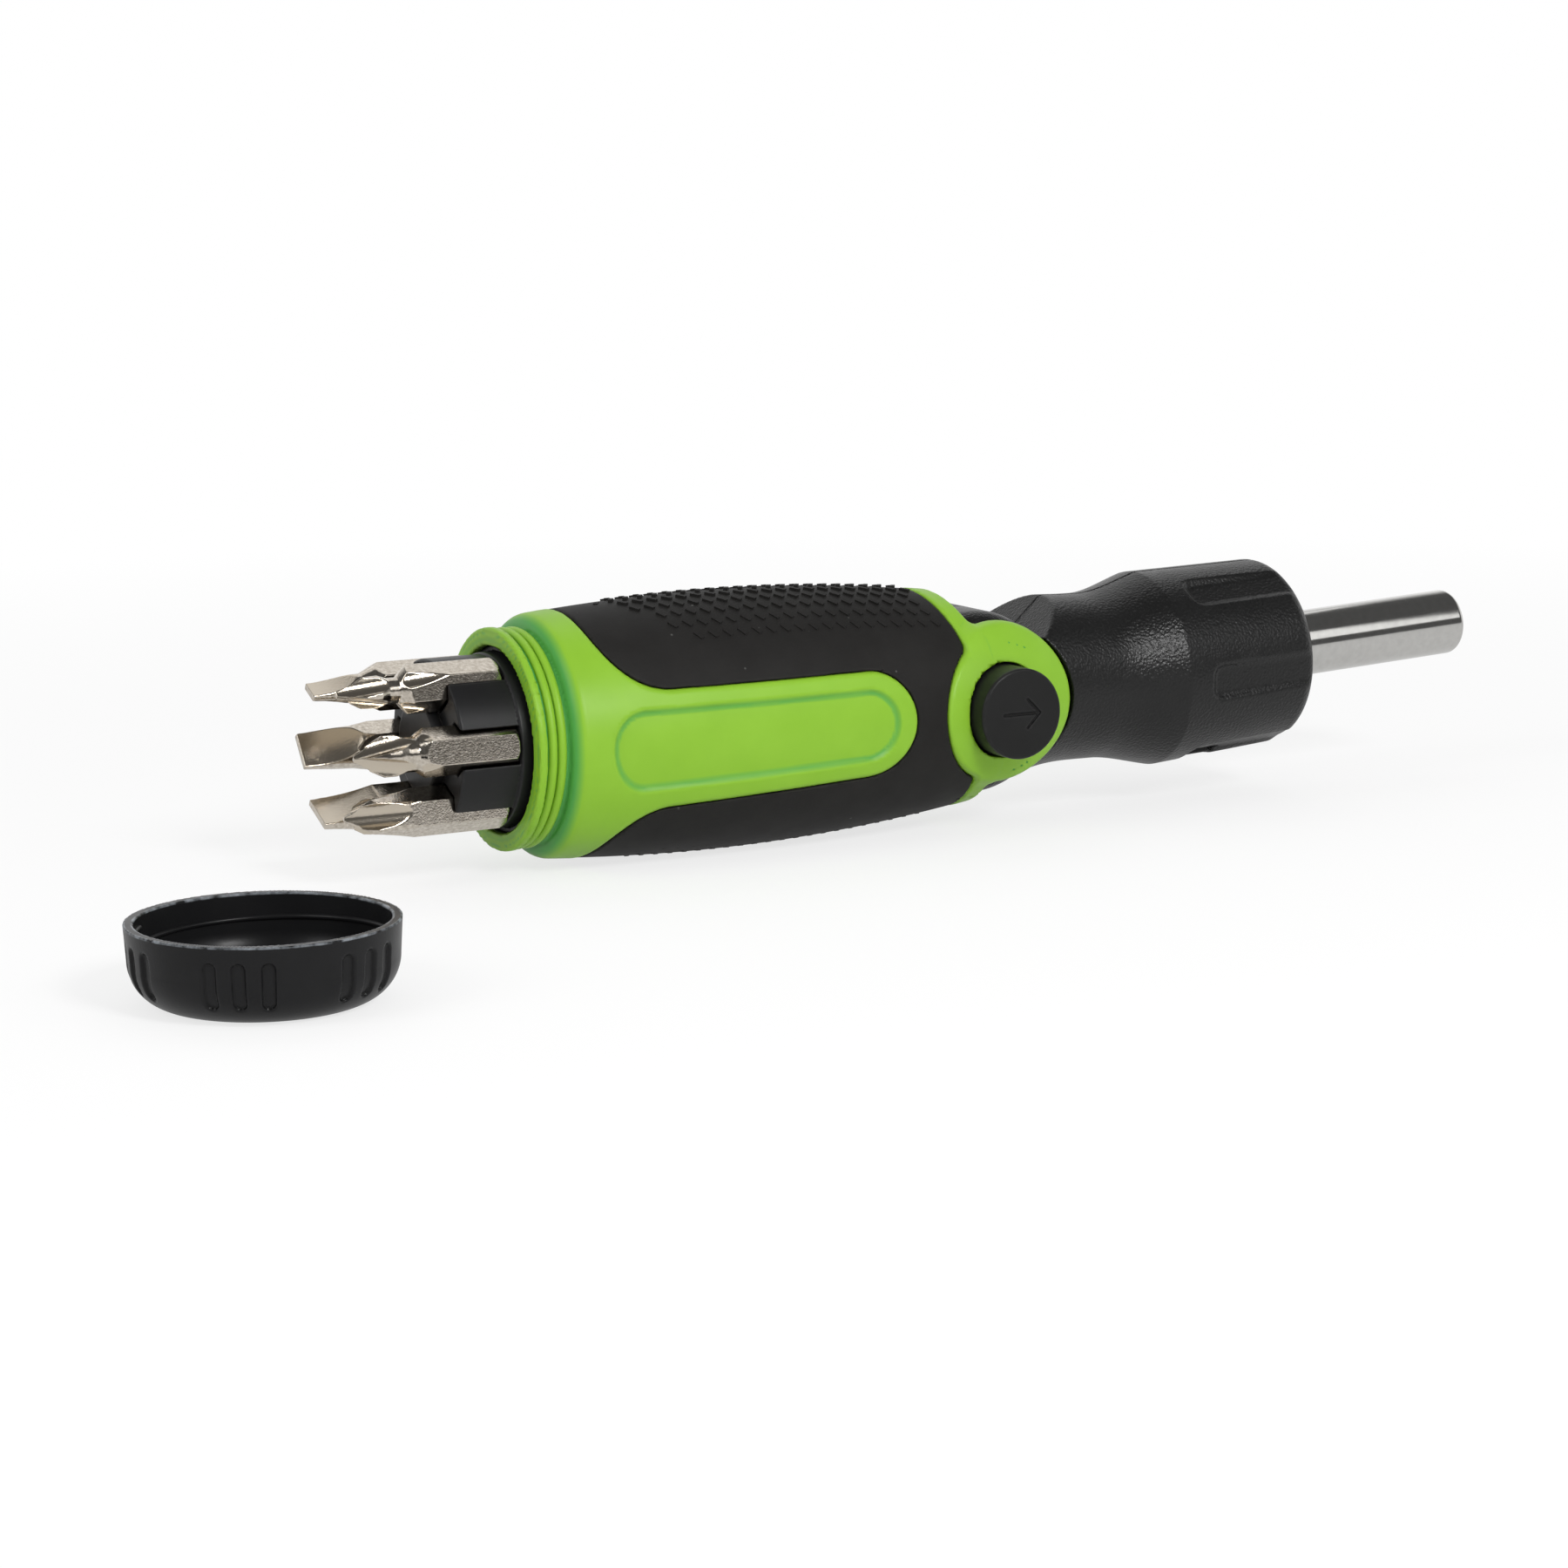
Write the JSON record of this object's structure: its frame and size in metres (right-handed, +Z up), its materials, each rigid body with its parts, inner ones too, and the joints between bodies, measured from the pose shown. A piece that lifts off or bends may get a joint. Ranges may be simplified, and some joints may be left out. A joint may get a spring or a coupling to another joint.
{
  "type": "ratcheting screwdriver",
  "caption": "Ratcheting screwdriver with a soft-grip bit-storage handle, a pivoting barrel that locks by a side button, a magnetic hex-socket shaft and a separate screw cap.",
  "frame": {"origin": "middle of the base, on the table under the handle's belly and the cap's foot", "axes": "+X along the handle's axis towards the shaft's tip, +Z up; the button faces -Y"},
  "size_m": [0.2564, 0.0992, 0.0397],
  "materials": {
    "handle_green": "moulded satin plastic",
    "grip_rubber": "soft overmould, matt",
    "barrel_black": "fine grained moulded plastic",
    "trim_black": "smooth moulded plastic",
    "carrier_black": "smooth moulded plastic",
    "cap_black": "satin moulded plastic",
    "bit_nickel": "nickel plated, ground tips",
    "shaft_chrome": "satin chrome",
    "inner_steel": "plain steel",
    "bush_bronze": "sintered bronze",
    "magnet_grey": "plain"
  },
  "bodies": {
    "handle": {"handle_core": "handle_green", "grip_sleeve": "grip_rubber", "pivot_bolt": "inner_steel", "pivot_clip": "inner_steel", "pivot_cap": "trim_black"},
    "button": {"pivot_button": "trim_black"},
    "barrel": {"barrel_left": "barrel_black", "barrel_right": "barrel_black", "barrel_screws": "inner_steel", "front_bush": "bush_bronze", "rear_bush": "bush_bronze", "pawl_pin": "inner_steel", "detent_spring": "inner_steel", "detent_ball": "inner_steel", "lock_spring": "inner_steel"},
    "lock": {"lock_gear": "inner_steel"},
    "spindle": {"shaft": "shaft_chrome", "ratchet_gear": "inner_steel", "retaining_ring": "inner_steel", "magnet": "magnet_grey"},
    "selector": {"pawl": "inner_steel", "direction_rocker": "trim_black"},
    "carrier": {"bit_carrier": "carrier_black"},
    "cap": {"storage_cap": "cap_black"},
    "phillips_bit_small": {"phillips_bit_small": "bit_nickel"},
    "phillips_bit_medium": {"phillips_bit_medium": "bit_nickel"},
    "phillips_bit_large": {"phillips_bit_large": "bit_nickel"},
    "slotted_bit_small": {"slotted_bit_small": "bit_nickel"},
    "slotted_bit_medium": {"slotted_bit_medium": "bit_nickel"},
    "slotted_bit_large": {"slotted_bit_large": "bit_nickel"}
  },
  "joints": [
    {"name": "barrel_fold", "type": "hinge", "parent": "handle", "child": "barrel", "pos_m": [0.0296, 0.02997, 0.01987], "axis": [0, -1, 0], "range_deg": [0, 60]},
    {"name": "button_press", "type": "slide", "parent": "handle", "child": "button", "axis": [0, 1, 0], "range_m": [0, 0.0026], "stiffness_N_per_m": 800},
    {"name": "lock_shift", "type": "slide", "parent": "barrel", "child": "lock", "axis": [0, 1, 0], "range_m": [0, 0.0026]},
    {"name": "shaft_spin", "type": "hinge", "parent": "barrel", "child": "spindle", "pos_m": [0.08953, 0.02997, 0.02283], "axis": [0.9988, 0, 0.0494], "continuous": true},
    {"name": "direction_select", "type": "hinge", "parent": "barrel", "child": "selector", "pos_m": [0.07414, 0.02997, 0.01015], "axis": [0.9988, 0, 0.0494], "range_deg": [-8.5, 8.5]},
    {"name": "carrier_slide", "type": "slide", "parent": "handle", "child": "carrier", "axis": [1, 0, 0], "range_m": [0, 0.024]},
    {"name": "phillips_small_pull", "type": "slide", "parent": "carrier", "child": "phillips_bit_small", "axis": [-1, 0, 0], "range_m": [0, 0.03]},
    {"name": "phillips_medium_pull", "type": "slide", "parent": "carrier", "child": "phillips_bit_medium", "axis": [-1, 0, 0], "range_m": [0, 0.03]},
    {"name": "phillips_large_pull", "type": "slide", "parent": "carrier", "child": "phillips_bit_large", "axis": [-1, 0, 0], "range_m": [0, 0.03]},
    {"name": "slotted_small_pull", "type": "slide", "parent": "carrier", "child": "slotted_bit_small", "axis": [-1, 0, 0], "range_m": [0, 0.03]},
    {"name": "slotted_medium_pull", "type": "slide", "parent": "carrier", "child": "slotted_bit_medium", "axis": [-1, 0, 0], "range_m": [0, 0.03]},
    {"name": "slotted_large_pull", "type": "slide", "parent": "carrier", "child": "slotted_bit_large", "axis": [-1, 0, 0], "range_m": [0, 0.03]},
    {"name": "cap_lift", "type": "slide", "parent": "handle", "child": "cap", "axis": [0, 0, 1], "range_m": [-0.015, 0.1]}
  ],
  "couplings": [
    {"joint": "lock_shift", "follows": "button_press", "ratio": 1}
  ]
}
